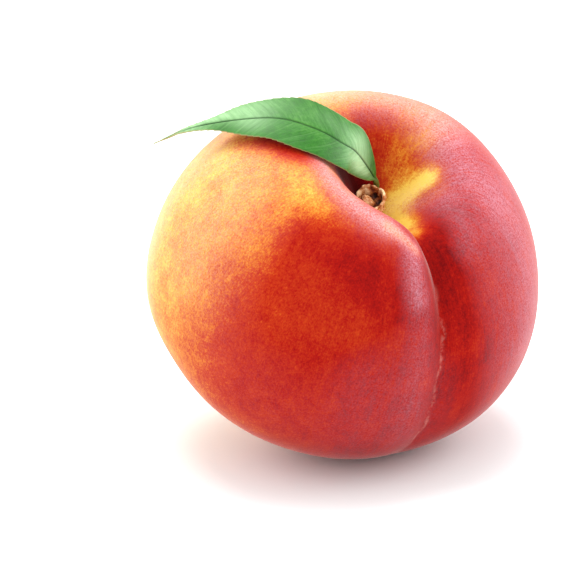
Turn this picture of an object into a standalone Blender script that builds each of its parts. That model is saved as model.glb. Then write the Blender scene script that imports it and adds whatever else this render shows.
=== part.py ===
"""A ripe peach resting on its small flat spot, with its stem stub and one leaf.

Three grown pieces: peach_fruit, stem_stub and leaf. Metres, +Z up, the surface it rests on at z = 0,
the origin at the middle of the whole part's footprint. -Y is the side that the stem end leans towards.
Points below are measured from the middle of the fruit; main() then sets everything on the surface.
"""

import bmesh
import bpy
import numpy as np
from mathutils import Vector

MM = 0.001

# The fruit before its hollows: an egg of these half sizes about the middle of the stem axis.
HALF_DEPTH = 37.7 * MM  # from the stem axis to the suture
HALF_WIDTH = 41.9 * MM  # from the stem axis to the side of a cheek
TOP_HEIGHT = 39.7 * MM  # towards the stem, up to where the shoulders would close
BOTTOM_HEIGHT = 30.3 * MM  # towards the blossom end
FULLNESS = 2.15  # exponent of the egg: 2 is an ellipsoid, more is squarer

# Gentle swellings (+) and slacks (-): degrees from the stem, degrees from the suture, share of the
# radius, and degrees over which it fades.
SWELLINGS = (
    (50, -60, 0.014, 38),
    (50, 60, -0.056, 38),
    (50, 180, 0.008, 38),
    (95, -75, -0.017, 38),
    (95, 75, -0.020, 38),
    (95, 180, -0.009, 38),
    (140, -90, -0.023, 38),
    (130, 0, 0.010, 38),
    (160, 0, 0.050, 22),
)

# The hollow that the stem stands in.
CAVITY_DEPTH = 19.0 * MM
CAVITY_REACH_ALONG = 12.0 * MM  # in the suture's plane
CAVITY_REACH_ACROSS = 11.3 * MM
CAVITY_STEEPNESS = 2.1

# The suture: a cleft that is deep at the shoulder and fades to a crease. Its left lip is the steep one.
CLEFT_DEPTH = 10.0 * MM
CREASE_DEPTH = 1.0 * MM
CREASE_ENDS_AT = 112  # degrees from the stem, where the crease has half faded
CREASE_END_SOFTNESS = 5  # degrees
CLEFT_STARTS_AT = 3.5 * MM  # in front of the stem axis
CLEFT_START_SOFTNESS = 3.0 * MM
CLEFT_FADES_BY = 48  # degrees from the stem
LEFT_LIP_WIDTH = 4.0 * MM
RIGHT_LIP_WIDTH = 7.0 * MM
CREASE_NARROWING = 0.7  # the crease's width as a share of the lips'
CLEFT_SHARPNESS = 1.3

# How the fruit lies: the stem end leans forwards and a little to the right.
STEM_AXIS = Vector((0.248, -0.372, 0.895))
SUTURE_SIDE = Vector((0.444, -0.777, -0.446))

FLAT_SPOT_SINK = 0.9 * MM  # how far the flesh has flattened where it rests

FRUIT_AROUND = 60  # quads round the stem axis
FRUIT_DOWN = 40  # quads from the stem to the blossom end
CROWD_AT_SUTURE = 0.72  # how much closer the quads lie near the suture, and near the stem
CROWD_AT_STEM = 0.5

# The stub of the stem: a short woody cup with a torn bark rim.
STUB_FOOT = Vector((6.0, -7.7, 16.7)) * MM
STUB_AXIS = Vector((-0.23, -0.31, 0.92))
STUB_HEIGHT = 6.2 * MM
STUB_FOOT_RADIUS = 1.3 * MM
STUB_WAIST_RADIUS = 2.3 * MM
STUB_RIM_RADIUS = 3.15 * MM
STUB_RIM_WALL = 0.7 * MM
STUB_CUP_DEPTH = 1.8 * MM
STUB_PROFILE = (  # radius, height and share of the torn rise, up the outside and into the cup
    (STUB_FOOT_RADIUS, 0.0, 0),
    (STUB_WAIST_RADIUS, 1.6 * MM, 0),
    (STUB_WAIST_RADIUS, 3.4 * MM, 0),
    (STUB_RIM_RADIUS, STUB_HEIGHT - 0.6 * MM, 0.6),
    (STUB_RIM_RADIUS - 0.25 * STUB_RIM_WALL, STUB_HEIGHT, 1),
    (STUB_RIM_RADIUS - STUB_RIM_WALL, STUB_HEIGHT - 0.3 * MM, 1),
    (0.8 * (STUB_RIM_RADIUS - STUB_RIM_WALL), STUB_HEIGHT - STUB_CUP_DEPTH, 0.2),
)
STUB_CUP_DISH = 0.1 * MM  # how much lower the middle of the cup is than its edge
STUB_TORN_RISE = 1.2 * MM  # how much higher the rim stands at the back than in front
STUB_TORN_WAVES = ((0.5, 1, 0.0), (0.25, 3, 1.0))  # share of the rise, waves round, phase
STUB_OVAL = (0.05, 2, 0.6)  # share of the radius, waves round, phase
STUB_AROUND = 20

# The leaf: its midrib from the foot of its stalk to its tip.
LEAF_SPINE = (
    Vector((5.4, -4.8, 21.9)) * MM,
    Vector((5.8, -5.7, 24.2)) * MM,
    Vector((2.0, -10.9, 31.6)) * MM,
    Vector((-1.0, -13.0, 34.4)) * MM,
    Vector((-6.9, -13.8, 37.9)) * MM,
    Vector((-15.5, -11.2, 39.2)) * MM,
    Vector((-29.6, -6.5, 36.1)) * MM,
    Vector((-39.1, -3.5, 31.5)) * MM,
)
LEAF_STALK_SHARE = 0.06  # of the spine's length
LEAF_HALF_WIDTH = 6.45 * MM
LEAF_FULLEST = 0.715  # exponent: 1 puts the widest part halfway along the blade, less nearer the base
LEAF_BASE_ROUNDNESS = 0.97  # exponent: less is rounder
LEAF_TIP_NARROWING = 1.42  # added to that exponent by the tip, which draws it out
LEAF_STALK_RADIUS = 0.6 * MM
LEAF_RIB_HALF_THICKNESS = 0.45 * MM
LEAF_EDGE_HALF_THICKNESS = 0.25 * MM
LEAF_ACROSS = (  # share of the blade's length, and the way from the midrib to the far edge there
    (0.0, Vector((0.64, 0.70, 0.32))),
    (0.35, Vector((0.30, 0.84, 0.46))),
    (1.0, Vector((0.0, 0.81, 0.59))),
)
LEAF_FOLD = 2  # degrees that each half rises from flat
LEAF_TIP_THINNING = 0.1  # of the spine's length, over which the blade thins to its tip
LEAF_STATIONS = 30
LEAF_STEPS_ACROSS = 3  # on each half, each side
SPINE_STEPS = 400  # for measuring along the spine

NODE_COLOURS = {
    "peach_fruit": (0.78, 0.16, 0.06, 1.0),
    "stem_stub": (0.36, 0.19, 0.08, 1.0),
    "leaf": (0.12, 0.34, 0.09, 1.0),
}
NODE_ROUGHNESS = {"peach_fruit": 0.6, "stem_stub": 0.75, "leaf": 0.4}


def clear_scene():
    for obj in list(bpy.data.objects):
        bpy.data.objects.remove(obj, do_unlink=True)


# ---------------------------------------------------------------- fruit


def fruit_axes():
    """(suture side, right cheek, stem): the fruit's own axes in the world."""
    stem = np.array(STEM_AXIS.normalized())
    suture = np.array(SUTURE_SIDE)
    suture = suture - stem * (suture @ stem)
    suture = suture / np.linalg.norm(suture)
    return np.stack([suture, np.cross(stem, suture), stem])


def direction(polar, azimuth):
    return np.stack(
        [np.sin(polar) * np.cos(azimuth), np.sin(polar) * np.sin(azimuth), np.cos(polar)], -1
    )


def egg(ray):
    """The fruit's smooth outside before its hollows, along unit rays in its own axes."""
    height = np.where(ray[..., 2] > 0, TOP_HEIGHT, BOTTOM_HEIGHT)
    scaled = np.stack([ray[..., 0] / HALF_DEPTH, ray[..., 1] / HALF_WIDTH, ray[..., 2] / height])
    radius = (np.abs(scaled) ** FULLNESS).sum(0) ** (-1 / FULLNESS)
    for from_stem, from_suture, share, spread in SWELLINGS:
        centre = direction(np.radians(from_stem), np.radians(from_suture))
        away = np.degrees(np.arccos(np.clip(ray @ centre, -1, 1)))
        radius = radius * (1 + share * np.exp(-((away / spread) ** 2)))
    return ray * radius[..., None]


def cavity_sink(along, across, ray):
    reach = np.hypot(along / CAVITY_REACH_ALONG, across / CAVITY_REACH_ACROSS)
    upper = np.clip(3 * ray[..., 2], 0, 1)
    return upper * CAVITY_DEPTH * np.exp(-(reach**CAVITY_STEEPNESS))


def cleft_sink(along, across, polar):
    degrees = np.degrees(polar)
    fade = np.exp(-((degrees / CLEFT_FADES_BY) ** 2))
    crease = CREASE_DEPTH / (1 + np.exp((degrees - CREASE_ENDS_AT) / CREASE_END_SOFTNESS))
    lip = np.where(across < 0, LEFT_LIP_WIDTH, RIGHT_LIP_WIDTH)
    width = lip * (CREASE_NARROWING + (1 - CREASE_NARROWING) * fade)
    in_front = 1 / (1 + np.exp((CLEFT_STARTS_AT - along) / CLEFT_START_SOFTNESS))
    profile = np.exp(-(np.abs(across / width) ** CLEFT_SHARPNESS))
    return in_front * (crease + CLEFT_DEPTH * fade) * profile


def skin_point(polar, azimuth):
    """A point of the fruit's skin in its own axes, for angles from the stem and from the suture."""
    ray = direction(polar, azimuth)
    point = egg(ray)
    along, across = point[..., 0], point[..., 1]
    sink = cavity_sink(along, across, ray)
    point = point - ray * cleft_sink(along, across, polar)[..., None]
    point[..., 2] -= sink
    return point


def fruit_mesh():
    """The skin, still round at the bottom, about the middle of the fruit."""
    mesh = bmesh.new()
    bmesh.ops.create_uvsphere(mesh, u_segments=FRUIT_AROUND, v_segments=FRUIT_DOWN, radius=1)
    rays = np.array([v.co for v in mesh.verts])
    polar = np.arccos(np.clip(rays[:, 2], -1, 1))
    azimuth = np.arctan2(rays[:, 1], rays[:, 0])
    azimuth = azimuth - CROWD_AT_SUTURE * np.sin(azimuth)
    polar = polar * (1 - CROWD_AT_STEM * (1 - polar / np.pi))
    for vertex, point in zip(mesh.verts, skin_point(polar, azimuth) @ fruit_axes()):
        vertex.co = point
    return mesh


def flatten_spot(mesh):
    """Cuts the flat spot under the fruit and returns its height."""
    level = min(v.co.z for v in mesh.verts) + FLAT_SPOT_SINK
    cut = bmesh.ops.bisect_plane(
        mesh,
        geom=mesh.verts[:] + mesh.edges[:] + mesh.faces[:],
        plane_co=(0, 0, level),
        plane_no=(0, 0, -1),
        clear_outer=True,
    )
    rim = [g for g in cut["geom_cut"] if isinstance(g, bmesh.types.BMEdge)]
    bmesh.ops.contextual_create(mesh, geom=rim)
    bmesh.ops.recalc_face_normals(mesh, faces=mesh.faces[:])
    return level


# ---------------------------------------------------------------- loft of closed rings


def loft(rings):
    """A closed solid through rings of points, with an end point at each end of the list."""
    mesh = bmesh.new()
    first = mesh.verts.new(rings[0])
    last = mesh.verts.new(rings[-1])
    loops = [[mesh.verts.new(point) for point in ring] for ring in rings[1:-1]]
    count = len(loops[0])
    for i in range(count):
        j = (i + 1) % count
        mesh.faces.new((first, loops[0][j], loops[0][i]))
        mesh.faces.new((last, loops[-1][i], loops[-1][j]))
        for near, far in zip(loops, loops[1:]):
            mesh.faces.new((near[i], near[j], far[j], far[i]))
    bmesh.ops.recalc_face_normals(mesh, faces=mesh.faces[:])
    return mesh


# ---------------------------------------------------------------- stem stub


def stub_mesh():
    """Rings up the outside of the woody cup, over its torn rim and down into the cup."""
    up = STUB_AXIS.normalized()
    back = (Vector((0, 1, 0)) - up * up.y).normalized()
    side = back.cross(up)

    def wave(turn, size, waves, phase):
        return size * np.cos(waves * turn + phase)

    def ring(radius, height, torn):
        points = []
        for step in range(STUB_AROUND):
            turn = 2 * np.pi * step / STUB_AROUND
            rise = torn * STUB_TORN_RISE * sum(wave(turn, *row) for row in STUB_TORN_WAVES)
            reach = radius * (1 + wave(turn, *STUB_OVAL))
            outward = back * np.cos(turn) + side * np.sin(turn)
            points.append(STUB_FOOT + outward * reach + up * (height + rise))
        return points

    rings = [STUB_FOOT]
    rings += [ring(*row) for row in STUB_PROFILE]
    rings.append(STUB_FOOT + up * (STUB_HEIGHT - STUB_CUP_DEPTH - STUB_CUP_DISH))
    return loft(rings)


# ---------------------------------------------------------------- leaf


def spine_point(share):
    """A point on the smooth curve through LEAF_SPINE, for a share from 0 to 1 of its stretches."""
    stretches = len(LEAF_SPINE) - 1
    index = min(int(share * stretches), stretches - 1)
    along = share * stretches - index
    before = LEAF_SPINE[index - 1] if index else 2 * LEAF_SPINE[0] - LEAF_SPINE[1]
    start, end = LEAF_SPINE[index], LEAF_SPINE[index + 1]
    after = LEAF_SPINE[index + 2] if index + 2 <= stretches else 2 * end - start
    return 0.5 * (
        2 * start
        + (end - before) * along
        + (2 * before - 5 * start + 4 * end - after) * along**2
        + (3 * start - before - 3 * end + after) * along**3
    )


def spine_by_length(count):
    """Points evenly spaced by length along the spine, and its direction at each."""
    step = 1 / SPINE_STEPS
    fine = [spine_point(number * step) for number in range(SPINE_STEPS + 1)]
    lengths = np.cumsum([0] + [(end - start).length for start, end in zip(fine, fine[1:])])
    wanted = np.linspace(0, lengths[-1], count)
    shares = np.interp(wanted, lengths, np.linspace(0, 1, SPINE_STEPS + 1))
    points = [spine_point(share) for share in shares]
    tangents = [
        (spine_point(min(share + step, 1)) - spine_point(max(share - step, 0))).normalized()
        for share in shares
    ]
    return points, tangents


def blade_half_width(blade_share):
    """Half the blade's width, for a share from its base to its tip: a lance with a drawn-out tip."""
    swell = np.sin(np.pi * blade_share**LEAF_FULLEST)
    return LEAF_HALF_WIDTH * swell ** (LEAF_BASE_ROUNDNESS + LEAF_TIP_NARROWING * blade_share)


def across_at(blade_share):
    shares = [share for share, _ in LEAF_ACROSS]
    ways = [way for _, way in LEAF_ACROSS]
    return Vector([np.interp(blade_share, shares, [way[axis] for way in ways]) for axis in range(3)])


def leaf_mesh():
    points, tangents = spine_by_length(LEAF_STATIONS)
    fold = np.radians(LEAF_FOLD)
    rings = [points[0]]
    for number in range(1, LEAF_STATIONS - 1):
        share = number / (LEAF_STATIONS - 1)
        blade_share = max(0, (share - LEAF_STALK_SHARE) / (1 - LEAF_STALK_SHARE))
        tangent = tangents[number]
        across = across_at(blade_share)
        across = (across - tangent * across.dot(tangent)).normalized()
        up = across.cross(tangent)
        half_width = max(LEAF_STALK_RADIUS, float(blade_half_width(blade_share)))
        taper = min(1, (1 - share) / LEAF_TIP_THINNING)
        rib = LEAF_RIB_HALF_THICKNESS * taper
        edge = LEAF_EDGE_HALF_THICKNESS * taper
        if blade_share == 0:
            rib = edge = LEAF_STALK_RADIUS
        ring = []
        for side in (1, -1):  # the upper side from the far edge to the near one, then back below
            for step in range(LEAF_STEPS_ACROSS, -LEAF_STEPS_ACROSS - 1, -1):
                out = side * step / LEAF_STEPS_ACROSS
                if abs(out) == 1 and side == -1:
                    continue
                thickness = 0 if abs(out) == 1 else side * (rib + (edge - rib) * abs(out))
                folded = fold if blade_share else 0
                middle = across * (out * half_width * np.cos(folded))
                middle += up * (abs(out) * half_width * np.sin(folded))
                ring.append(points[number] + middle + up * thickness)
        rings.append(ring)
    rings.append(points[-1])
    return loft(rings)


# ---------------------------------------------------------------- the whole peach


def add_object(name, mesh, collection):
    data = bpy.data.meshes.new(name)
    mesh.to_mesh(data)
    mesh.free()
    data.shade_smooth()
    material = bpy.data.materials.new(name)
    material.use_nodes = True
    shader = material.node_tree.nodes["Principled BSDF"]
    shader.inputs["Base Color"].default_value = NODE_COLOURS[name]
    shader.inputs["Roughness"].default_value = NODE_ROUGHNESS[name]
    shader.inputs["Metallic"].default_value = 0.0
    data.materials.append(material)
    obj = bpy.data.objects.new(name, data)
    collection.objects.link(obj)
    return obj


def main():
    clear_scene()
    peach = bpy.data.collections.new("peach")
    bpy.context.scene.collection.children.link(peach)
    meshes = {"peach_fruit": fruit_mesh(), "stem_stub": stub_mesh(), "leaf": leaf_mesh()}
    floor = flatten_spot(meshes["peach_fruit"])
    everything = np.array([v.co for mesh in meshes.values() for v in mesh.verts])
    middle = (everything.min(0) + everything.max(0)) / 2
    for name, mesh in meshes.items():
        bmesh.ops.translate(mesh, vec=(-middle[0], -middle[1], -floor), verts=mesh.verts)
        add_object(name, mesh, peach)


main()
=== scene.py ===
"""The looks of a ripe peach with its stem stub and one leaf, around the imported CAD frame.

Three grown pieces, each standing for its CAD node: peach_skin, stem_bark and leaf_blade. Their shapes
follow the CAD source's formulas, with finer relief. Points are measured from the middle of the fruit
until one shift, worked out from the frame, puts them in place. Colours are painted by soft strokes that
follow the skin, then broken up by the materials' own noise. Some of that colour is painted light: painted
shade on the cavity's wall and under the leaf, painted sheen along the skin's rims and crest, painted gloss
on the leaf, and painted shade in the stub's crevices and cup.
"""

import math

import bpy
import numpy as np
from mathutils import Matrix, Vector, noise


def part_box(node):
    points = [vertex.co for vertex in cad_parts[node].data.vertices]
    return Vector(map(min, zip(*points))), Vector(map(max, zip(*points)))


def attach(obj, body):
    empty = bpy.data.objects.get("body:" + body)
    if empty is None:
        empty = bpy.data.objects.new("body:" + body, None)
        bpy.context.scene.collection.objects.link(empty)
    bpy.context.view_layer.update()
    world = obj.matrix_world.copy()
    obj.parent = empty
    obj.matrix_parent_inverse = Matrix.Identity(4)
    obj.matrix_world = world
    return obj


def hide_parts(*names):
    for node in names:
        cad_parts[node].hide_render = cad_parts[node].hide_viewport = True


MM = 0.001

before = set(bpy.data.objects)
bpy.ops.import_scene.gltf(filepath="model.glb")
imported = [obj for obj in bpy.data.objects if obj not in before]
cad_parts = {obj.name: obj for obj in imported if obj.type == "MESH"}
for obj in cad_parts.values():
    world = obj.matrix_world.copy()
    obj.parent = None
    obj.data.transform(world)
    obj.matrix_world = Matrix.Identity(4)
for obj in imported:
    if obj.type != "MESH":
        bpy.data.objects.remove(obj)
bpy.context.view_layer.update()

# ---------------------------------------------------------------- sizes, as in the CAD source

HALF_DEPTH = 37.7 * MM
HALF_WIDTH = 41.9 * MM
TOP_HEIGHT = 39.7 * MM
BOTTOM_HEIGHT = 30.3 * MM
FULLNESS = 2.15
SWELLINGS = (  # degrees from the stem, degrees from the suture, share of the radius, spread
    (50, -60, 0.014, 38),
    (50, 60, -0.056, 38),
    (50, 180, 0.008, 38),
    (95, -75, -0.017, 38),
    (95, 75, -0.020, 38),
    (95, 180, -0.009, 38),
    (140, -90, -0.023, 38),
    (130, 0, 0.010, 38),
    (160, 0, 0.050, 22),
)
CAVITY_DEPTH = 19.0 * MM
CAVITY_REACH_ALONG = 12.0 * MM
CAVITY_REACH_ACROSS = 11.3 * MM
CAVITY_STEEPNESS = 2.1
CLEFT_DEPTH = 10.0 * MM
CREASE_DEPTH = 1.0 * MM
CREASE_ENDS_AT = 112  # degrees from the stem
CREASE_END_SOFTNESS = 5
CLEFT_STARTS_AT = 3.5 * MM
CLEFT_START_SOFTNESS = 3.0 * MM
CLEFT_FADES_BY = 48  # degrees from the stem
LEFT_LIP_WIDTH = 4.0 * MM
RIGHT_LIP_WIDTH = 7.0 * MM
CREASE_NARROWING = 0.7
CLEFT_SHARPNESS = 1.3
STEM_AXIS = Vector((0.248, -0.372, 0.895))
SUTURE_SIDE = Vector((0.444, -0.777, -0.446))
FLAT_SPOT_SINK = 0.9 * MM

STUB_FOOT = Vector((6.0, -7.7, 16.7)) * MM
STUB_AXIS = Vector((-0.23, -0.31, 0.92))
STUB_HEIGHT = 6.2 * MM

LEAF_SPINE = (
    Vector((5.4, -4.8, 21.9)) * MM,
    Vector((5.8, -5.7, 24.2)) * MM,
    Vector((2.0, -10.9, 31.6)) * MM,
    Vector((-1.0, -13.0, 34.4)) * MM,
    Vector((-6.9, -13.8, 37.9)) * MM,
    Vector((-15.5, -11.2, 39.2)) * MM,
    Vector((-29.6, -6.5, 36.1)) * MM,
    Vector((-39.1, -3.5, 31.5)) * MM,
)
LEAF_STALK_SHARE = 0.06  # of the leaf's length
LEAF_HALF_WIDTH = 6.45 * MM
LEAF_FULLEST = 0.715
LEAF_BASE_ROUNDNESS = 0.97
LEAF_TIP_NARROWING = 1.42
LEAF_ACROSS = (  # share of the blade's length, the way across it there
    (0.0, Vector((0.64, 0.70, 0.32))),
    (0.35, Vector((0.30, 0.84, 0.46))),
    (1.0, Vector((0.0, 0.81, 0.59))),
)
LEAF_FOLD = 2  # degrees

# ---------------------------------------------------------------- finer relief, for the looks

STUB_PROFILE = (  # radius and height in mm, share of the torn rise: up the outside and into the cup
    (0.6, 0.0, 0),
    (1.3, 0.1, 0),
    (2.1, 1.3, 0),
    (2.3, 3.2, 0),
    (2.7, 4.7, 0.3),
    (3.15, 5.6, 0.7),
    (3.0, 6.15, 1),
    (2.7, 6.05, 1),
    (2.5, 5.2, 0.8),
    (2.2, 4.0, 0.3),
    (1.2, 3.4, 0),
    (0.05, 3.4, 0),
)
STUB_ROWS = 84
STUB_AROUND = 120
STUB_RIM_ROW = 0.62  # share of the rows below the rim's crest
STUB_TORN_RISE = 1.2 * MM
STUB_OVALNESS = 0.05
STUB_ROUGHNESS = 0.16 * MM
STUB_COARSE_GRAIN = 1.3 * MM
STUB_FINE_GRAIN = 0.55 * MM
STUB_RIDGE_SIZE = 0.8 / 3  # radians round the bark
STUB_SMOOTH_WITHIN = 1.5 * MM  # of its middle line, where the relief fades out
# painted shade in the cup: it starts below this height and is full over this distance further down
STUB_DARKENS_BELOW = 0.92 * STUB_HEIGHT
STUB_DARKENS_OVER = 1.9 * MM
STUB_LUMPS = (  # in the cup: mm to the side, mm behind, mm high, mm across
    (-1.3, 0.4, 2.3, 0.9),
    (0.0, -0.9, 2.4, 0.9),
    (-1.4, -1.0, 1.9, 0.7),
    (-0.2, 0.9, 1.7, 0.7),
    (-0.6, -0.2, 1.5, 0.9),
)

LEAF_ROWS = 260
LEAF_STEPS = 72  # across each face
LEAF_HALF_THICKNESS = 0.16 * MM
LEAF_STALK_RADIUS = 0.6 * MM
LEAF_TIP_HALF_WIDTH = 0.2 * MM
LEAF_TOOTH_SPACING = 1.55 * MM
LEAF_TOOTH_DEPTH = 0.20 * MM
LEAF_TEETH_START_AT = 0.2  # share of the blade's length; nearer the base they stay small
LEAF_TEETH_GROW_OVER = 0.25
LEAF_SMALLEST_TOOTH = 0.15
LEAF_TOOTHLESS_TIP = 1 / 6  # share of the length over which the teeth fade out
LEAF_RIBLESS_TIP = 1 / 5
LEAF_THIN_TIP = 1 / 25
LEAF_TIP_THINNESS = 0.7
LEAF_EDGE_BLUNTNESS = 8
LEAF_VEIN_SPACING = 4.6 * MM
LEAF_VEIN_SLANT = 0.75  # how far a vein runs towards the tip for each step away from the rib
LEAF_VEIN_CURVE = 0.045  # and how much further for each mm away from it
LEAF_VEIN_STAGGER = 0.3 * LEAF_VEIN_SPACING  # between the two halves
LEAF_VEIN_FADE = 1 / 3.2  # share of the half width beside the rim
LEAF_VEIN_WIDTH = 0.15 * MM
LEAF_VEIN_DEPTH = 0.04 * MM
LEAF_RIB_WIDTH = 0.17 * MM
LEAF_RIB_DEPTH = 0.16 * MM
LEAF_RIB_BULGE = 0.35 * MM
LEAF_RIM_WIDTH = 0.18 * MM
LEAF_PAINTED_GLOSS = (  # painted gloss, pale patches where the leaf reflects light: strength, share of the length, its spread, place across, its spread
    (0.66, 0.70, 0.14, 0.62, 0.58),
    (0.74, 0.88, 0.09, 0.0, 2.0),
    (0.40, 0.62, 0.08, -0.25, 0.60),
    (0.66, 0.22, 0.07, 0.45, 0.45),
    (1.05, 0.18, 0.08, -0.35, 0.45),
    (0.14, 0.37, 0.07, 0.55, 0.40),
)
LEAF_QUILT_HEIGHT = 0.16 * MM
LEAF_WAVE_LENGTH = 13 * MM
LEAF_WAVE_HEIGHT = 0.20 * MM

SKIN_AROUND = 400
SKIN_DOWN = 240
CROWD_AT_SUTURE = 0.72
CROWD_AT_STEM = 0.5
SUNNY_SIDE = 25  # degrees from the suture
GROUND_BLUSH = 0.60  # 0 is yellow, 1 a dark red
SUNNY_BLUSH = 0.30
UNDERSIDE_PALENESS = 0.12
GROUND_BLOOM = 0.08
SHADED_BLOOM = 0.12
GROUND_STREAKS = 0.25
GRAIN_DOWN = 0.35  # how much the grain's coordinate grows down from the stem, for a radian
BLOOM_AND_SHEEN_THRESHOLD = 0.03  # painted bloom and sheen below this doesn't show
UNEVENNESS = 0.22 * MM  # broad gentle bumps
UNEVENNESS_SIZE = 15 * MM
WRINKLE_DEPTH = 0.22 * MM  # furrows that run out of the stem cavity
WRINKLES_AROUND = 17
WRINKLE_DRIFT = 0.25  # how fast the furrows change on their way down
WRINKLES_FULL_BY = 5  # degrees from the stem
WRINKLES_FADE_BY = 26
SCAR_HEIGHT = 0.07 * MM  # the fine raised seam along the suture
SCAR_WIDTH = 0.42 * MM
SCAR_FROM = 47  # degrees from the stem
SCAR_TO = 108
SCAR_END_SOFTNESS = 2
SCAR_WAVES = (  # how far it strays, degrees of the skin to a radian of the wave, phase
    (0.35 * MM, 4.5, 0),
    (0.2 * MM, 1.9, 1),
)


def srgb(red, green, blue):
    """A colour given in 0 to 255 screen values, as the linear colour that shaders take."""
    shares = (np.array([red, green, blue]) / 255 + 0.055) / 1.055
    return (*(float(share) for share in shares**2.4), 1.0)


# ---------------------------------------------------------------- the fruit's form


def fruit_axes():
    """(suture side, right cheek, stem): the fruit's own axes in the world."""
    stem = np.array(STEM_AXIS.normalized())
    suture = np.array(SUTURE_SIDE)
    suture = suture - stem * (suture @ stem)
    suture = suture / np.linalg.norm(suture)
    return np.stack([suture, np.cross(stem, suture), stem])


def direction(polar, azimuth):
    """The unit ray at those angles, in the fruit's own axes."""
    return np.stack(
        [np.sin(polar) * np.cos(azimuth), np.sin(polar) * np.sin(azimuth), np.cos(polar)], -1
    )


def egg(ray):
    """The fruit's smooth outside before its hollows, along unit rays in its own axes."""
    height = np.where(ray[..., 2] > 0, TOP_HEIGHT, BOTTOM_HEIGHT)
    scaled = np.stack([ray[..., 0] / HALF_DEPTH, ray[..., 1] / HALF_WIDTH, ray[..., 2] / height])
    radius = (np.abs(scaled) ** FULLNESS).sum(0) ** (-1 / FULLNESS)
    for from_stem, from_suture, share, spread in SWELLINGS:
        centre = direction(np.radians(from_stem), np.radians(from_suture))
        away = np.degrees(np.arccos(np.clip(ray @ centre, -1, 1)))
        radius = radius * (1 + share * np.exp(-((away / spread) ** 2)))
    return ray * radius[..., None]


def cavity_sink(along, across, ray):
    """How far the stem's cavity sinks the skin, along the stem."""
    reach = np.hypot(along / CAVITY_REACH_ALONG, across / CAVITY_REACH_ACROSS)
    upper = np.clip(3 * ray[..., 2], 0, 1)
    return upper * CAVITY_DEPTH * np.exp(-(reach**CAVITY_STEEPNESS))


def cleft_sink(along, across, polar):
    """How far the suture's cleft and crease sink the skin, towards the middle of the fruit."""
    degrees = np.degrees(polar)
    fade = np.exp(-((degrees / CLEFT_FADES_BY) ** 2))
    crease = CREASE_DEPTH / (1 + np.exp((degrees - CREASE_ENDS_AT) / CREASE_END_SOFTNESS))
    lip = np.where(across < 0, LEFT_LIP_WIDTH, RIGHT_LIP_WIDTH)
    width = lip * (CREASE_NARROWING + (1 - CREASE_NARROWING) * fade)
    in_front = 1 / (1 + np.exp((CLEFT_STARTS_AT - along) / CLEFT_START_SOFTNESS))
    profile = np.exp(-(np.abs(across / width) ** CLEFT_SHARPNESS))
    return in_front * (crease + CLEFT_DEPTH * fade) * profile


def skin_point(polar, azimuth):
    """A point of the fruit's skin in its own axes, for angles from the stem and from the suture."""
    ray = direction(polar, azimuth)
    point = egg(ray)
    along, across = point[..., 0], point[..., 1]
    sink = cavity_sink(along, across, ray)
    point = point - ray * cleft_sink(along, across, polar)[..., None]
    point[..., 2] -= sink
    return point


def noise_at(points, size, offset=0.0):
    """Smooth noise from -1 to 1 at each point, with features of that size."""
    flat = (points.reshape(-1, 3) / size + offset).tolist()
    return np.array([noise.noise(point) for point in flat]).reshape(points.shape[:-1])


def skin_relief(polar, azimuth, points):
    """How far the finer relief stands out of the skin."""
    degrees = np.degrees(polar)
    broad = UNEVENNESS * noise_at(points, UNEVENNESS_SIZE)
    turns = np.stack([np.cos(azimuth), np.sin(azimuth), WRINKLE_DRIFT * polar], -1)
    wrinkles = noise_at(turns, 2 * np.pi / WRINKLES_AROUND, offset=7.3)
    near_stem = np.clip(degrees / WRINKLES_FULL_BY, 0, 1) * np.exp(-((degrees / WRINKLES_FADE_BY) ** 4))
    seam = scar_share(polar, azimuth, points)
    return broad + WRINKLE_DEPTH * wrinkles * near_stem + SCAR_HEIGHT * seam


def scar_share(polar, azimuth, points):
    """1 on the fine seam along the suture, 0 away from it. The seam wavers and breaks up a little."""
    degrees = np.degrees(polar)
    waver = sum(stray * np.sin(degrees / length + phase) for stray, length, phase in SCAR_WAVES)
    beside = np.where(np.cos(azimuth) > 0, points[..., 1] - waver, 1)
    starts = 1 / (1 + np.exp((SCAR_FROM - degrees) / SCAR_END_SOFTNESS))
    ends = 1 / (1 + np.exp((degrees - SCAR_TO) / SCAR_END_SOFTNESS))
    strength = 0.65 + 0.35 * np.sin(degrees / 2.7) * np.sin(degrees / 6.1 + 2)
    return starts * ends * strength * np.exp(-((beside / SCAR_WIDTH) ** 2))


def grid_normals(points):
    """Outward normals of a grid of points whose second direction closes on itself."""
    down = np.gradient(points, axis=0)
    around = np.roll(points, -1, axis=1) - np.roll(points, 1, axis=1)
    normals = np.cross(down, around)
    return normals / np.maximum(np.linalg.norm(normals, axis=-1, keepdims=True), 1e-12)


# ---------------------------------------------------------------- painting

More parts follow.
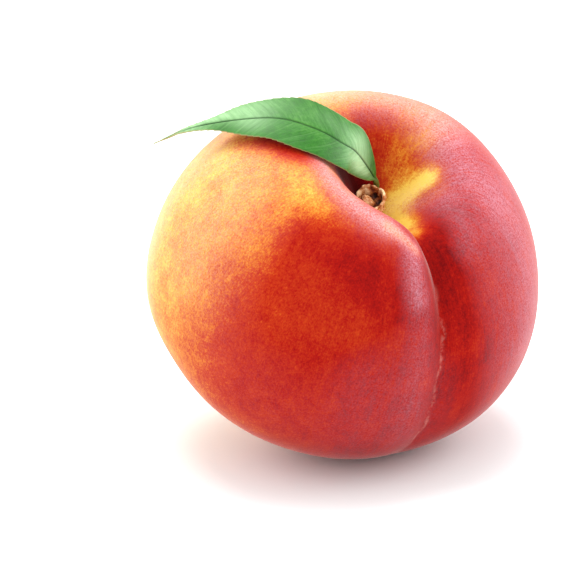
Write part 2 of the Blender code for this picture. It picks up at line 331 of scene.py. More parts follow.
# Each stroke: (value it paints towards, reach in mm, opacity, path). A path's points are degrees from
# the stem and degrees from the suture. Later strokes lie over earlier ones.
BLUSH_AND_SHADE_STROKES = (
    (0.18, 17, 0.95, ((48, -122), (72, -114), (100, -112))),
    (0.30, 12, 0.90, ((38, -102), (48, -98), (68, -98))),
    (0.38, 9, 0.85, ((42, -86), (52, -86), (66, -86))),
    (0.48, 7, 0.85, ((46, -70), (54, -70), (66, -70))),
    (0.66, 9, 0.90, ((44, -60), (54, -58), (66, -56))),
    (0.78, 10, 0.95, ((45, -48), (52, -40), (50, -28))),
    (0.68, 12, 0.90, ((66, -50), (68, -34), (70, -20))),
    (0.76, 14, 0.85, ((84, -52), (92, -30), (92, -12))),
    (0.86, 6, 0.90, ((43, -40), (46, -32), (45, -22))),
    (0.84, 9, 0.85, ((74, -26), (90, -22), (106, -18))),
    (0.15, 5, 0.85, ((34, -68), (35, -78), (33, -90))),
    (0.84, 7, 0.85, ((56, -10), (80, -9), (104, -6))),
    (1.00, 6, 0.95, ((33, 9), (40, 5), (50, 3))),
    (0.90, 7, 0.90, ((54, 7), (75, 5), (95, 5))),
    (0.82, 13, 0.90, ((38, 26), (60, 24), (88, 22))),
    (0.76, 15, 0.85, ((46, 60), (64, 50), (90, 42))),
    (0.80, 11, 0.85, ((22, 92), (28, 78), (34, 58))),
    (0.92, 5, 0.85, ((24, 34), (25, 22), (32, 15))),
    (0.50, 8, 0.85, ((31, 160), (27, 128))),
    (0.30, 8, 0.90, ((31, -178), (40, -165))),
    (0.76, 5, 0.90, ((14, 170), (20, 172), (18, 160))),
    (0.60, 4, 0.90, ((11, 142), (15, 152), (19, 138))),
    (0.42, 3, 0.90, ((11, 122), (15, 126), (19, 120))),
    (-0.14, 2.8, 1.00, ((5.5, 96), (10, 88), (15, 84))),
    (0.60, 2.0, 0.80, ((14.5, 60), (18, 62))),
    (-0.14, 2.8, 1.00, ((7, 62), (9, 47), (12, 31), (15, 19))),
    (0.24, 2.4, 0.90, ((19, 11), (23, 7))),
    # painted shade: the cavity's wall left of the stub, in the leaf's shadow, painted past the darkest red
    (1.28, 4.4, 1.00, ((6, -150), (10, -148), (13, -128), (12, -113))),
    (0.64, 4, 0.85, ((23, -95), (24, -75), (27, -52), (29, -36))),
    # deeper blush with the leaf's painted shadow, in the band under the leaf's lower edge (this stroke and
    # the next)
    (0.80, 3.2, 0.90, ((28, -103), (32, -109), (36, -117), (42, -124))),
    (0.44, 3.2, 0.80, ((42, -124), (51, -130), (57, -136))),
    (0.46, 4, 0.60, ((36, -92), (40, -82), (43, -76))),
    (0.36, 5, 0.60, ((53, -78), (52, -84))),
    (0.76, 4, 0.60, ((41, -64), (48, -57))),
    (0.40, 1.6, 0.60, ((29, -30), (31, -22), (35, -13))),
)
# Bloom is the fuzz's own pale dusting, and in places painted sheen: the pale rims of the cheeks and the
# top, and the band along the front lobe's crest.
BLOOM_AND_SHEEN_STROKES = (
    (0.00, 15, 1.00, ((48, -60), (58, -50), (54, -32), (66, -34))),
    # painted sheen: the pale rim of the left cheek
    (0.58, 8, 0.90, ((46, -128), (62, -124), (80, -118), (100, -112))),
    (0.38, 11, 0.90, ((42, -108), (52, -96), (68, -94))),
    # pale fuzz and painted sheen along the front lobe's crest
    (0.80, 3.1, 0.90, ((22, -95), (24, -72), (26.5, -48), (28, -33))),
    (0.88, 1.7, 0.90, ((28.5, -32), (30.5, -24), (34.5, -14))),
    (0.52, 2.8, 0.85, ((38, -15), (45, -14), (50, -12))),
    (0.12, 9, 0.85, ((76, -24), (90, -22), (106, -18))),
    (0.20, 4, 0.80, ((58, -10), (80, -9), (100, -7))),
    (0.18, 11, 0.80, ((46, 32), (70, 32), (90, 32))),
    # painted sheen towards the rim of the right cheek (this stroke and the next)
    (0.30, 11, 0.80, ((44, 92), (64, 84), (84, 76))),
    (0.44, 9, 0.85, ((42, 60), (60, 50), (80, 44))),
    (0.50, 6, 0.85, ((22, 95), (24, 72), (34, 60))),
    # pale fuzz and painted sheen over the top
    (0.80, 6, 0.90, ((28, 118), (31, 145), (33, 172), (36, 188))),
    (0.00, 5.5, 1.00, ((30, 9), (38, 6), (48, 5), (60, 5))),
    (0.02, 5, 0.85, ((66, 9), (80, 11), (98, 14))),
    (0.00, 5, 1.00, ((15, 172), (15, 150), (12, 120), (10, 92), (9, 60), (12, 30))),
    # no fuzz over the painted shade on the cavity's wall left of the stub
    (0.00, 6, 1.00, ((6, -150), (10, -150), (13, -132), (12, -116))),
    # no fuzz in the leaf's painted shadow under its lower edge
    (0.00, 3.5, 0.90, ((28, -104), (32, -109), (38, -119), (46, -126))),
    (0.66, 2.2, 0.85, ((11, 68), (14, 62), (17, 54), (21, 44))),
    (0.22, 2.0, 0.80, ((6, 90), (9, 80), (13, 76))),
    (0.26, 3.2, 0.75, ((15, 58), (19, 44), (27, 31), (37, 21))),
)
STREAK_STROKES = (
    (1.0, 22, 1.0, ((25, 60), (50, 35), (85, 20))),
    (1.0, 8, 1.0, ((45, -6), (75, -8), (100, -6))),
    (0.8, 9, 1.0, ((66, -24), (90, -22), (106, -18))),
    (1.0, 9, 1.0, ((15, 30), (17, 90), (18, 140))),
)


STEPS_PER_STRETCH = 8  # between two points of a stroke's path


def stroke_distance(points, path):
    """The distance from each point to a path over the skin, in metres."""
    path = np.radians(np.array(path, float))
    stretches = len(path) - 1
    shares = np.linspace(0, stretches, STEPS_PER_STRETCH * stretches + 1)
    polar = np.interp(shares, range(len(path)), path[:, 0])
    azimuth = np.interp(shares, range(len(path)), path[:, 1])
    nearest = np.full(points.shape[:-1], np.inf)
    for spot in skin_point(polar, azimuth):
        nearest = np.minimum(nearest, np.linalg.norm(points - spot, axis=-1))
    return nearest


def painted(points, ground, strokes):
    """The ground value at each point with the strokes laid over it."""
    value = ground
    for towards, reach, opacity, path in strokes:
        cover = opacity * np.exp(-((stroke_distance(points, path) / (reach * MM)) ** 2))
        value = value + (towards - value) * cover
    return value


def sunny_share(polar, azimuth):
    """1 in the middle of the sunny cheek, -1 in the middle of the shaded one."""
    return np.cos(azimuth - np.radians(SUNNY_SIDE)) * np.sin(polar)


def ground_blush(polar, azimuth):
    """Red on the sunny cheek, yellow on the shaded one and round the blossom end."""
    under = np.clip(-np.cos(polar), 0, 1)
    return GROUND_BLUSH + SUNNY_BLUSH * sunny_share(polar, azimuth) - UNDERSIDE_PALENESS * under


def ground_bloom(polar, azimuth):
    """A little pale fuzz everywhere, and more of it on the shaded cheek."""
    return GROUND_BLOOM + SHADED_BLOOM * np.clip(-sunny_share(polar, azimuth), 0, 1)


# ---------------------------------------------------------------- meshes


def single_ends(grid):
    """A grid of values (rows, around, parts) as one list, with a single entry for each end row."""
    return np.concatenate([grid[:1, 0], grid[1:-1].reshape(-1, grid.shape[-1]), grid[-1:, 0]])


def piece_from_grid(name, points, attributes):
    """A closed piece from a grid of points (rows, around), with a pole point at each end row."""
    rows, around = points.shape[:2]
    number = 1 + np.arange((rows - 2) * around).reshape(rows - 2, around)
    following = np.roll(number, -1, axis=1)
    quads = np.stack([number[:-1], number[1:], following[1:], following[:-1]], -1).reshape(-1, 4)
    vertices = single_ends(points)
    pole = len(vertices) - 1
    first = [(0, int(a), int(b)) for a, b in zip(number[0], following[0])]
    last = [(pole, int(b), int(a)) for a, b in zip(number[-1], following[-1])]
    mesh = bpy.data.meshes.new(name)
    mesh.from_pydata(vertices.tolist(), [], first + quads.tolist() + last)
    for label, values in attributes.items():
        packed = single_ends(values.reshape(rows, around, -1)).astype(np.float32)
        kind, field = ("FLOAT", "value") if packed.shape[1] == 1 else ("FLOAT_VECTOR", "vector")
        layer = mesh.attributes.new(label, kind, "POINT")
        layer.data.foreach_set(field, packed.ravel())
    mesh.shade_smooth()
    obj = bpy.data.objects.new(name, mesh)
    bpy.context.scene.collection.objects.link(obj)
    return obj


CURVE_STEPS = 40  # between two points that a curve runs through


def smooth_path(points, count):
    """count points along the smooth curve through the given ones, evenly spaced by length."""
    points = np.array(points, float)
    padded = np.concatenate([2 * points[:1] - points[1:2], points, 2 * points[-1:] - points[-2:-1]])
    stretches = len(points) - 1
    at = np.linspace(0, stretches, CURVE_STEPS * stretches + 1)
    index = np.minimum(at.astype(int), stretches - 1)
    along = (at - index)[:, None]
    before, start, end, after = (padded[index + step] for step in range(4))
    fine = 0.5 * (
        2 * start
        + (end - before) * along
        + (2 * before - 5 * start + 4 * end - after) * along**2
        + (3 * start - before - 3 * end + after) * along**3
    )
    lengths = np.concatenate([[0], np.cumsum(np.linalg.norm(np.diff(fine, axis=0), axis=1))])
    wanted = np.linspace(0, lengths[-1], count)
    return np.stack([np.interp(wanted, lengths, column) for column in fine.T], -1)


# ---------------------------------------------------------------- skin


def fruit_grid():
    """Angles of the skin's grid: crowded at the stem and along the suture."""
    down = np.linspace(0, np.pi, SKIN_DOWN)
    down = down * (1 - CROWD_AT_STEM * (1 - down / np.pi))
    around = np.linspace(-np.pi, np.pi, SKIN_AROUND, endpoint=False)
    around = around - CROWD_AT_SUTURE * np.sin(around)
    return np.meshgrid(down, around, indexing="ij")


def make_fruit():
    """The skin piece, and the shift from the middle of the fruit to the frame."""
    polar, azimuth = fruit_grid()
    points = skin_point(polar, azimuth)
    # blush, with painted shade on the cavity's wall and under the leaf's edge
    blush_and_shade = painted(points, ground_blush(polar, azimuth), BLUSH_AND_SHADE_STROKES)
    # the pale fuzz, with painted sheen on the rims and the crest
    bloom_and_sheen = painted(points, ground_bloom(polar, azimuth), BLOOM_AND_SHEEN_STROKES) - BLOOM_AND_SHEEN_THRESHOLD
    streaky = painted(points, np.full(polar.shape, GROUND_STREAKS), STREAK_STROKES)
    scar = scar_share(polar, azimuth, points)
    grain = np.stack([np.cos(azimuth), np.sin(azimuth), GRAIN_DOWN * polar], -1)
    points = points + grid_normals(points) * skin_relief(polar, azimuth, points)[..., None]
    points = points @ fruit_axes()
    floor = points[..., 2].min() + FLAT_SPOT_SINK
    points[..., 2] = np.maximum(points[..., 2], floor)
    low, high = points.reshape(-1, 3).min(0), points.reshape(-1, 3).max(0)
    cad_low, cad_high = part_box("peach_fruit")
    shift = (np.array(cad_low) + np.array(cad_high)) / 2 - (low + high) / 2
    shift[2] = cad_low.z - floor
    attributes = {"blush_and_shade": blush_and_shade, "bloom_and_sheen": bloom_and_sheen, "streaky": streaky, "scar": scar, "grain": grain}
    return piece_from_grid("peach_skin", points + shift, attributes), Vector(shift)


# ---------------------------------------------------------------- stem stub


def make_stub(shift):
    """The dry stem stub: a turned profile with a torn rim, lumps in its cup and rough bark."""
    up = np.array(STUB_AXIS.normalized())
    back = np.array((0, 1, 0)) - up * up[1]
    back = back / np.linalg.norm(back)
    side = np.cross(back, up)
    profile = smooth_path(np.array(STUB_PROFILE) * (MM, MM, 1), STUB_ROWS)
    turn = np.linspace(0, 2 * np.pi, STUB_AROUND, endpoint=False)
    radius, height, torn = (column[:, None] for column in profile.T)
    tear = 0.5 * np.cos(turn) + 0.25 * np.cos(3 * turn + 1)  # one broad peak and three small ones
    rise = torn * STUB_TORN_RISE * tear
    reach = radius * (1 + STUB_OVALNESS * np.cos(2 * turn + 0.6))
    outward = back * np.cos(turn)[:, None] + side * np.sin(turn)[:, None]
    foot = np.array(STUB_FOOT)
    points = foot + outward * reach[..., None] + up * (height + rise)[..., None]
    inside = (np.arange(STUB_ROWS) > STUB_RIM_ROW * STUB_ROWS)[:, None] * np.ones(STUB_AROUND)
    for across, behind, lump_height, lump_size in STUB_LUMPS:
        away = points - foot - (side * across + back * behind) * MM
        away = away - up * (away @ up)[..., None]
        swell = np.exp(-((np.linalg.norm(away, axis=-1) / (lump_size * MM)) ** 2))
        points = points + up * (inside * lump_height * MM * swell)[..., None]
    rough = noise_at(points, STUB_COARSE_GRAIN, offset=3.1)
    rough = rough + 0.6 * noise_at(points, STUB_FINE_GRAIN, offset=9.7)
    ring = np.stack([np.cos(turn), np.sin(turn), 0 * turn], -1)
    ridges = (1 - inside) * noise_at(ring, STUB_RIDGE_SIZE, offset=4.0)
    fade = np.clip(radius / STUB_SMOOTH_WITHIN, 0, 1)
    relief = STUB_ROUGHNESS * (rough + 0.8 * ridges) * fade
    points = points + grid_normals(points) * relief[..., None]
    # painted shade: darker in the relief's crevices and down inside the cup
    painted_crevice_shade = np.clip(0.5 - 0.9 * (rough + 0.6 * ridges), 0, 1)
    below = (STUB_DARKENS_BELOW - (points - foot) @ up) / STUB_DARKENS_OVER
    attributes = {"painted_crevice_shade": painted_crevice_shade, "painted_cup_shade": inside * np.clip(below, 0, 1)}
    return piece_from_grid("stem_bark", points + np.array(shift), attributes)


# ---------------------------------------------------------------- leaf


def blade_half_width(share):
    """Half the blade's width, for a share from its base to its tip: a lance with a drawn-out tip."""
    swell = np.clip(np.sin(np.pi * share**LEAF_FULLEST), 0, 1)
    return LEAF_HALF_WIDTH * swell ** (LEAF_BASE_ROUNDNESS + LEAF_TIP_NARROWING * share)


def nearest_line(position, spacing):
    """How far a position is from the nearest of lines spaced evenly, in the position's unit."""
    return np.abs((position / spacing + 0.5) % 1 - 0.5) * spacing


def leaf_ways(spine, blade):
    """The unit ways across the leaf and up from it, at each row."""
    tangent = np.gradient(spine, axis=0)
    tangent = tangent / np.linalg.norm(tangent, axis=1, keepdims=True)
    shares, ways = zip(*LEAF_ACROSS)
    across = np.stack([np.interp(blade, shares, [way[axis] for way in ways]) for axis in range(3)], -1)
    across = across - tangent * (across * tangent).sum(-1, keepdims=True)
    across = across / np.linalg.norm(across, axis=-1, keepdims=True)
    return across, np.cross(across, tangent)


def make_leaf(shift):
    """The leaf: rings round its spine, with a stalk, teeth, a sunk rib, veins and a gentle quilting."""
    spine = smooth_path(LEAF_SPINE, LEAF_ROWS)
    length = np.linalg.norm(np.diff(spine, axis=0), axis=1).sum()
    share = np.linspace(0, 1, LEAF_ROWS)
    blade = np.clip((share - LEAF_STALK_SHARE) / (1 - LEAF_STALK_SHARE), 0, 1)
    across, up = leaf_ways(spine, blade)

    # Round each ring: out is the place across, 1 and -1 at the rims, and face is 1 above and -1 below.
    step = np.linspace(1, -1, LEAF_STEPS + 1)
    out = np.concatenate([step, -step[1:-1]])[None]
    face = np.concatenate([np.ones(LEAF_STEPS + 1), -np.ones(LEAF_STEPS - 1)])[None]
    share, blade = share[:, None], blade[:, None]
    leafy = np.clip((share - 0.8 * LEAF_STALK_SHARE) / (0.5 * LEAF_STALK_SHARE), 0, 1)
    leafy = leafy * leafy * (3 - 2 * leafy)
    narrowest = LEAF_STALK_RADIUS + (LEAF_TIP_HALF_WIDTH - LEAF_STALK_RADIUS) * np.sqrt(blade)
    half_width = np.maximum(blade_half_width(blade), narrowest)
    travelled = share * length
    grown = np.clip((blade - LEAF_TEETH_START_AT) / LEAF_TEETH_GROW_OVER, LEAF_SMALLEST_TOOTH, 1)
    toothed = grown * np.clip((1 - share) / LEAF_TOOTHLESS_TIP, 0, 1)
    tooth = (travelled / LEAF_TOOTH_SPACING) % 1 * leafy * toothed
    reach = out * (half_width + LEAF_TOOTH_DEPTH * tooth * np.abs(out) ** 10)
    beside = np.abs(reach)
    onward = LEAF_VEIN_SLANT * beside + LEAF_VEIN_CURVE * beside**2 / MM
    vein_place = travelled - onward + LEAF_VEIN_STAGGER * (out > 0)
    from_vein = nearest_line(vein_place, LEAF_VEIN_SPACING)
    vein = np.exp(-((from_vein / LEAF_VEIN_WIDTH) ** 2)) * np.clip(beside / MM, 0, 1)
    vein = vein * np.clip((1 - np.abs(out)) / LEAF_VEIN_FADE, 0, 1) * leafy
    rib = np.exp(-((beside / LEAF_RIB_WIDTH) ** 2)) * leafy
    rib = rib * np.clip((1 - share) / LEAF_RIBLESS_TIP, 0, 1)
    quilt = np.cos(2 * np.pi * vein_place / LEAF_VEIN_SPACING) * np.abs(out) * (1 - np.abs(out))
    wave = np.sin(2 * np.pi * travelled / LEAF_WAVE_LENGTH + 1.1 * np.sign(out)) * np.abs(out) ** 3
    lift = -LEAF_RIB_DEPTH * rib - LEAF_VEIN_DEPTH * vein
    lift = lift - LEAF_QUILT_HEIGHT * quilt * leafy + LEAF_WAVE_HEIGHT * wave * leafy
    folded = np.radians(LEAF_FOLD) * leafy
    blade_thickness = LEAF_HALF_THICKNESS * np.sqrt(1 - np.abs(out) ** LEAF_EDGE_BLUNTNESS)
    blade_thickness = blade_thickness + LEAF_RIB_BULGE * rib * (face < 0)
    stalk_thickness = LEAF_STALK_RADIUS * np.sqrt(1 - out**2)
    thickness = stalk_thickness + (blade_thickness - stalk_thickness) * leafy
    thickness = thickness * np.clip((1 - share) / LEAF_THIN_TIP, LEAF_TIP_THINNESS, 1)
    points = (
        spine[:, None]
        + across[:, None] * (reach * np.cos(folded))[..., None]
        + up[:, None] * (beside * np.sin(folded) + lift + face * thickness)[..., None]
    )
    flat = np.ones_like(beside)
    # painted gloss: pale patches where the leaf's surface reflects light
    painted_gloss = sum(
        strength * np.exp(-(((share - along) / spread) ** 2) - ((out - middle) / width) ** 2)
        for strength, along, spread, middle, width in LEAF_PAINTED_GLOSS
    )
    from_rim = half_width * (1 - np.abs(out))
    attributes = {
        "rib": rib,
        "vein": vein,
        "painted_gloss": painted_gloss * flat,
        "rim": np.clip(1 - from_rim / LEAF_RIM_WIDTH, 0, 1) * leafy * flat,
        "under": (face < 0) * flat,
        "stalk": (1 - leafy) * flat,
        "blade": np.stack([vein_place, beside, 0 * flat], -1),
    }
    return piece_from_grid("leaf_blade", points + np.array(shift), attributes)


# ---------------------------------------------------------------- node helpers


class Nodes:
    """Builds one material's node tree in few words."""

    def __init__(self, name):
        self.material = bpy.data.materials.new(name)
        self.material.use_nodes = True
        self.tree = self.material.node_tree
        self.shader = self.tree.nodes["Principled BSDF"]

    def link(self, source, target):
        self.tree.links.new(source, target)

    def put(self, socket, value):
        """Sets a socket, or links it when value is another node's output."""
        if isinstance(value, bpy.types.NodeSocket):
            self.link(value, socket)
        else:
            socket.default_value = value

    def attribute(self, name, vector=False):
        node = self.tree.nodes.new("ShaderNodeAttribute")
        node.attribute_name = name
        return node.outputs["Vector" if vector else "Fac"]

    def place(self):
        return self.tree.nodes.new("ShaderNodeTexCoord").outputs["Object"]

    def noise(self, vector, scale, detail=2.0, roughness=0.5, distortion=0.0):
        node = self.tree.nodes.new("ShaderNodeTexNoise")
        self.link(vector, node.inputs["Vector"])
        node.inputs["Scale"].default_value = scale
        node.inputs["Detail"].default_value = detail
        node.inputs["Roughness"].default_value = roughness
        node.inputs["Distortion"].default_value = distortion
        return node.outputs["Fac"]

    def stretch(self, vector, scale):
        node = self.tree.nodes.new("ShaderNodeMapping")
        self.link(vector, node.inputs["Vector"])
        node.inputs["Scale"].default_value = scale
        return node.outputs["Vector"]

    def math(self, operation, first, second, clamp=False):
        node = self.tree.nodes.new("ShaderNodeMath")
        node.operation = operation
        node.use_clamp = clamp
        self.put(node.inputs[0], first)
        self.put(node.inputs[1], second)
        return node.outputs[0]

    def plus(self, first, second, clamp=False):
        return self.math("ADD", first, second, clamp)

    def times(self, first, second, clamp=False):
        return self.math("MULTIPLY", first, second, clamp)

    def swing(self, value, amount):
        """Noise round 0.5 turned into a swing round 0, of that size."""
        return self.times(self.math("SUBTRACT", value, 0.5), amount)

    def swings(self, *pairs):
        """The sum of several noises' swings: pairs of a noise and its size."""
        total = self.swing(*pairs[0])
        for value, amount in pairs[1:]:
            total = self.plus(total, self.swing(value, amount))
        return total

    def between(self, value, low, high, to_low=0.0, to_high=1.0):
        """value's range from low to high, smoothly turned into to_low to to_high."""
        node = self.tree.nodes.new("ShaderNodeMapRange")
        node.interpolation_type = "SMOOTHSTEP"
        self.link(value, node.inputs["Value"])
        limits = {"From Min": low, "From Max": high, "To Min": to_low, "To Max": to_high}
        for socket, number in limits.items():
            node.inputs[socket].default_value = number
        return node.outputs["Result"]

    def ramp(self, value, stops):
        node = self.tree.nodes.new("ShaderNodeValToRGB")
        self.link(value, node.inputs["Fac"])
        elements = node.color_ramp.elements
        while len(elements) < len(stops):
            elements.new(0.5)
        for element, (position, colour) in zip(elements, stops):
            element.position = position
            element.color = colour
        return node.outputs["Color"]

    def mix(self, share, first, second):
        """From the first colour at share 0 to the second at 1. 6, 7 and 2 are the node's colour sockets."""
        node = self.tree.nodes.new("ShaderNodeMix")
        node.data_type = "RGBA"
        self.put(node.inputs["Factor"], share)
        self.put(node.inputs[6], first)
        self.put(node.inputs[7], second)
        return node.outputs[2]

    def bump(self, height, distance, strength):
        node = self.tree.nodes.new("ShaderNodeBump")
        node.inputs["Distance"].default_value = distance
        node.inputs["Strength"].default_value = strength
        self.link(height, node.inputs["Height"])
        self.link(node.outputs["Normal"], self.shader.inputs["Normal"])

    def set(self, **values):
        for name, value in values.items():
            self.put(self.shader.inputs[name.replace("_", " ")], value)


# ---------------------------------------------------------------- materials

SKIN_TONES = (  # blush, from the shaded cheek's yellow to dark red; the last stop, darker still, is painted shade for the cavity's wall in the leaf's shadow
    (0.00, srgb(238, 206, 88)),
    (0.20, srgb(220, 162, 60)),
    (0.40, srgb(206, 114, 34)),
    (0.60, srgb(181, 52, 17)),
    (0.80, srgb(158, 16, 9)),
    (1.00, srgb(112, 5, 9)),
    # painted shade: reached only where the cavity's wall lies in the leaf's shadow
    (1.25, srgb(74, 1, 2)),
)
BLOOM_AND_SHEEN_TONES = (  # the pale fuzz and painted sheen over each blush
    (0.10, srgb(232, 214, 168)),
    (0.45, srgb(214, 162, 140)),
    (0.75, srgb(204, 142, 156)),
)
SCAR_TONE = srgb(214, 132, 120)
SCAR_OPACITY = 0.5
FUZZ_SHEEN = 0.40
FUZZ_SHEEN_ROUGHNESS = 0.26
FUZZ_SHEEN_TONE = srgb(255, 226, 222)
BARK_TONES = (
    (0.00, srgb(34, 9, 4)),
    (0.30, srgb(112, 48, 18)),
    (0.60, srgb(196, 118, 56)),
    (1.00, srgb(250, 216, 164)),
)
LEAF_TONES = (
    (0.00, srgb(18, 68, 12)),
    (0.50, srgb(46, 110, 30)),
    (1.00, srgb(90, 148, 64)),
)
# the pale colour of the leaf's painted gloss
LEAF_PAINTED_GLOSS_TONE = srgb(172, 214, 160)
LEAF_TINTS = (  # the leaf's parts: attribute, how strongly its colour shows, colour
    ("vein", 0.22, srgb(116, 164, 96)),
    ("rib", 0.85, srgb(14, 52, 16)),
    ("under", 0.55, srgb(126, 160, 104)),
    ("rim", 0.75, srgb(190, 158, 112)),
    ("stalk", 0.80, srgb(104, 104, 48)),
)


def skin_material():
    """Blush, with painted shade on the cavity's wall and under the leaf, broken up from broad clouds down
    to hair-like specks, with a pale dusting of fuzz and painted sheen over it.
    """
    n = Nodes("velvet_skin")
    place = n.place()
    grain = n.attribute("grain", vector=True)
    streaky = n.attribute("streaky")
    # blush, with painted shade on the cavity's wall and under the leaf's edge
    blush_and_shade = n.attribute("blush_and_shade")
    clouds = n.noise(place, 110, detail=3, roughness=0.55, distortion=0.8)
    mottle = n.noise(place, 260, detail=4, roughness=0.6, distortion=0.6)
    dapple = n.noise(place, 900, detail=3, roughness=0.7, distortion=0.4)
    fleck = n.noise(place, 2400, detail=2, roughness=0.6)
    fuzz = n.noise(place, 3000, detail=2, roughness=0.6)
    streaks = n.noise(n.stretch(grain, (30, 30, 6)), 1.0, detail=4, roughness=0.65, distortion=0.8)
    fibres = n.noise(n.stretch(grain, (120, 120, 44)), 1.0, detail=2, roughness=0.6, distortion=1.2)
    hairs = n.noise(n.stretch(grain, (210, 210, 80)), 1.0, detail=1, roughness=0.5, distortion=2.0)

    uneven = n.swings((mottle, 0.46), (dapple, 0.42), (fleck, 0.60), (clouds, 0.34), (hairs, 0.50))
    calmer_where_red = n.between(blush_and_shade, 0.2, 0.9, 0.95, 0.5)
    tone = n.plus(blush_and_shade, n.times(uneven, calmer_where_red))
    tone = n.plus(tone, n.times(n.swings((streaks, 0.34), (fibres, 0.12)), streaky))
    darkest = SKIN_TONES[-1][0]
    shares = [(blush_value / darkest, shade) for blush_value, shade in SKIN_TONES]
    colour = n.ramp(n.math("DIVIDE", tone, darkest), shares)

    # the pale fuzz and painted sheen, broken up by noise, laid over the blush
    fuzz_and_sheen = n.plus(n.swings((fuzz, 3.4), (dapple, 0.9)), n.times(n.swing(streaks, 1.8), streaky))
    fuzz_and_sheen = n.times(n.attribute("bloom_and_sheen"), n.plus(fuzz_and_sheen, 1.0))
    fuzz_and_sheen = n.math("MAXIMUM", fuzz_and_sheen, 0.0, clamp=True)
    colour = n.mix(fuzz_and_sheen, colour, n.ramp(blush_and_shade, BLOOM_AND_SHEEN_TONES))
    broken = n.between(dapple, 0.38, 0.64, 0.0, SCAR_OPACITY)
    colour = n.mix(n.times(n.attribute("scar"), broken), colour, SCAR_TONE)

    n.set(Base_Color=colour, Roughness=n.between(fuzz, 0.2, 0.8, 0.55, 0.8), Specular_IOR_Level=0.05)
    n.set(Sheen_Weight=FUZZ_SHEEN, Sheen_Roughness=FUZZ_SHEEN_ROUGHNESS, Sheen_Tint=FUZZ_SHEEN_TONE)
    n.bump(n.plus(n.times(fuzz, 0.6), n.times(dapple, 0.4)), 0.12 * MM, 0.5)
    return n.material


def bark_material():
    """Dry bark, with painted shade darkening its crevices and down in the torn cup."""
    n = Nodes("dry_bark")
    place = n.place()
    patches = n.noise(place, 900, detail=4, roughness=0.65)
    fine = n.noise(place, 3500, detail=3, roughness=0.6)
    tone = n.swings((patches, 1.1), (fine, 0.6))
    # painted shade in the crevices and down in the cup
    for name, darkening in (("painted_crevice_shade", -0.60), ("painted_cup_shade", -0.55)):
        tone = n.plus(tone, n.times(n.attribute(name), darkening))
    colour = n.ramp(n.plus(tone, 1.0, clamp=True), BARK_TONES)
    n.set(Base_Color=colour, Roughness=n.between(fine, 0.3, 0.7, 0.38, 0.7), Specular_IOR_Level=0.45)
    n.bump(n.plus(n.times(fine, 0.5), patches), 0.25 * MM, 0.7)
    return n.material


def leaf_material():
    """Green with fine streaks along the veins, and painted gloss: pale patches where the leaf reflects
    light.
    """
    n = Nodes("leaf_with_painted_gloss")
    place = n.place()
    blade = n.attribute("blade", vector=True)
    patches = n.noise(place, 150, detail=3, roughness=0.55, distortion=0.6)
    cells = n.noise(place, 1500, detail=4, roughness=0.65)
    streaks = n.noise(n.stretch(blade, (1300, 260, 1)), 1.0, detail=4, roughness=0.6, distortion=0.5)
    tone = n.swings((patches, 0.9), (cells, 0.55), (streaks, 0.6))
    colour = n.ramp(n.plus(tone, 0.5, clamp=True), LEAF_TONES)
    # painted gloss laid over the green
    painted_gloss = n.times(n.attribute("painted_gloss"), n.plus(n.swing(streaks, 1.1), 1.0), clamp=True)
    colour = n.mix(painted_gloss, colour, LEAF_PAINTED_GLOSS_TONE)
    for name, strength, tint in LEAF_TINTS:
        colour = n.mix(n.times(n.attribute(name), strength), colour, tint)
    n.set(Base_Color=colour, Roughness=n.between(cells, 0.2, 0.8, 0.30, 0.48), Specular_IOR_Level=0.14)
    n.bump(n.plus(cells, n.times(streaks, 1.2)), 0.14 * MM, 0.7)
    return n.material


# ---------------------------------------------------------------- stage, lights and camera

FLOOR_SIZE = 8.0
FLOOR_COLOUR = (0.89, 0.95, 0.95, 1.0)  # a faint blue-green, which offsets the red that the fruit reflects
WORLD_STRENGTH = 1.22
SOFTBOXES = (  # name, place, size and power in watts
    ("key", (-0.07, 0.18, 0.92), 0.60, 5.9),
    ("left_rim", (-0.72, 0.06, 0.40), 0.60, 2.0),
    ("right_rim", (0.72, 0.30, 0.40), 0.60, 3.4),
)
CAMERA_DISTANCE = 0.6
CAMERA_ELEVATION = math.radians(20)
CAMERA_AIM = Vector((-13.2, 0.0, 0.7)) * MM  # from the middle of the fruit
CAMERA_LENS = 186.1  # mm
SENSOR = 36.0  # mm


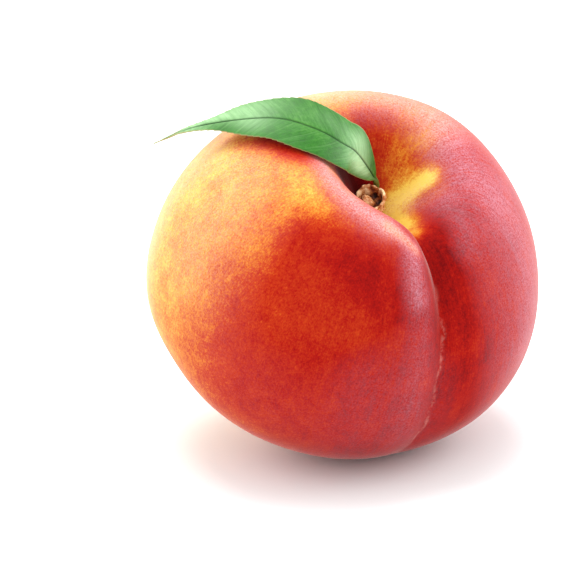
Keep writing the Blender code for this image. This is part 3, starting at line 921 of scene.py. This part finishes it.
def make_floor():
    half = FLOOR_SIZE / 2
    corners = [(-half, -half, 0), (half, -half, 0), (half, half, 0), (-half, half, 0)]
    mesh = bpy.data.meshes.new("floor")
    mesh.from_pydata(corners, [], [(0, 1, 2, 3)])
    n = Nodes("floor")
    n.set(Base_Color=FLOOR_COLOUR, Roughness=0.9, Specular_IOR_Level=0.0)
    mesh.materials.append(n.material)
    floor = bpy.data.objects.new("floor", mesh)
    bpy.context.scene.collection.objects.link(floor)


def make_world(strength):
    world = bpy.data.worlds.new("studio")
    world.use_nodes = True
    background = world.node_tree.nodes["Background"]
    background.inputs["Color"].default_value = (1, 1, 1, 1)
    background.inputs["Strength"].default_value = strength
    bpy.context.scene.world = world


def make_light(name, place, aim, size, power):
    data = bpy.data.lights.new(name, "AREA")
    data.shape = "SQUARE"
    data.size = size
    data.energy = power
    light = bpy.data.objects.new(name, data)
    light.location = place
    light.rotation_euler = (Vector(aim) - Vector(place)).to_track_quat("-Z", "Y").to_euler()
    light.visible_camera = False
    bpy.context.scene.collection.objects.link(light)


def make_camera(middle):
    data = bpy.data.cameras.new("camera")
    data.sensor_width = SENSOR
    data.lens = CAMERA_LENS
    data.clip_start = 0.01
    camera = bpy.data.objects.new("camera", data)
    back = Vector((0, -math.cos(CAMERA_ELEVATION), math.sin(CAMERA_ELEVATION)))
    camera.location = middle + CAMERA_AIM + back * CAMERA_DISTANCE
    camera.rotation_euler = (math.pi / 2 - CAMERA_ELEVATION, 0, 0)
    bpy.context.scene.collection.objects.link(camera)
    bpy.context.scene.camera = camera


def finish_piece(piece, material, node):
    """Gives a piece its material, hangs it under the root body and hides the CAD node it stands for."""
    piece.data.materials.append(material)
    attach(piece, "root")
    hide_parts(node)


def main():
    fruit, middle = make_fruit()
    finish_piece(fruit, skin_material(), "peach_fruit")
    finish_piece(make_stub(middle), bark_material(), "stem_stub")
    finish_piece(make_leaf(middle), leaf_material(), "leaf")
    make_floor()
    make_world(WORLD_STRENGTH)
    for name, place, size, power in SOFTBOXES:
        make_light(name, place, middle, size, power)
    make_camera(middle)
    bpy.context.scene.view_settings.view_transform = "Standard"


main()
